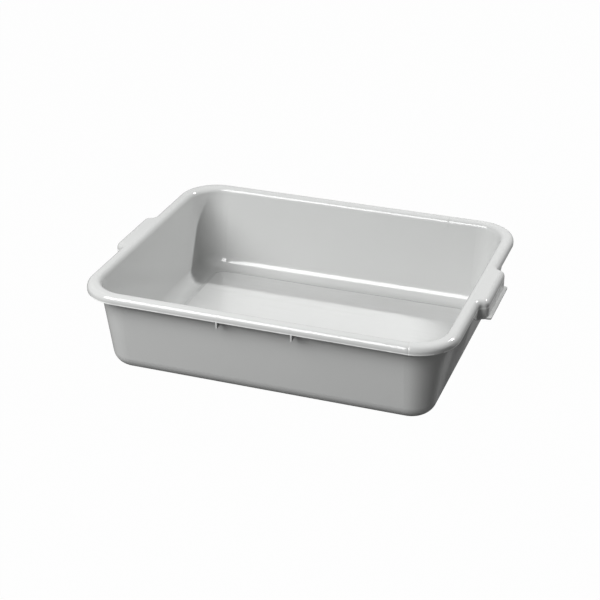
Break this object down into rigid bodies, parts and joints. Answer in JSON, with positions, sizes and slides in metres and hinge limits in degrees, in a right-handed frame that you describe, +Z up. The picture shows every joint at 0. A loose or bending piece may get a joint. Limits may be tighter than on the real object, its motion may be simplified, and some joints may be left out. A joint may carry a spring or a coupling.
{
  "type": "bus tub",
  "caption": "Open rectangular tub with sloping walls, rounded corners, a turned-down rim and a hollow grip at each end, for clearing dishes from tables.",
  "frame": {"origin": "middle of the footprint, on the plane the tub rests on", "axes": "+X along the long side towards one grip, +Y across the tub, +Z up"},
  "size_m": [0.5668, 0.427, 0.13],
  "materials": {
    "grey_plastic": "smooth glossy moulded polypropylene, light grey"
  },
  "bodies": {
    "root": {"tub": "grey_plastic"}
  },
  "joints": []
}
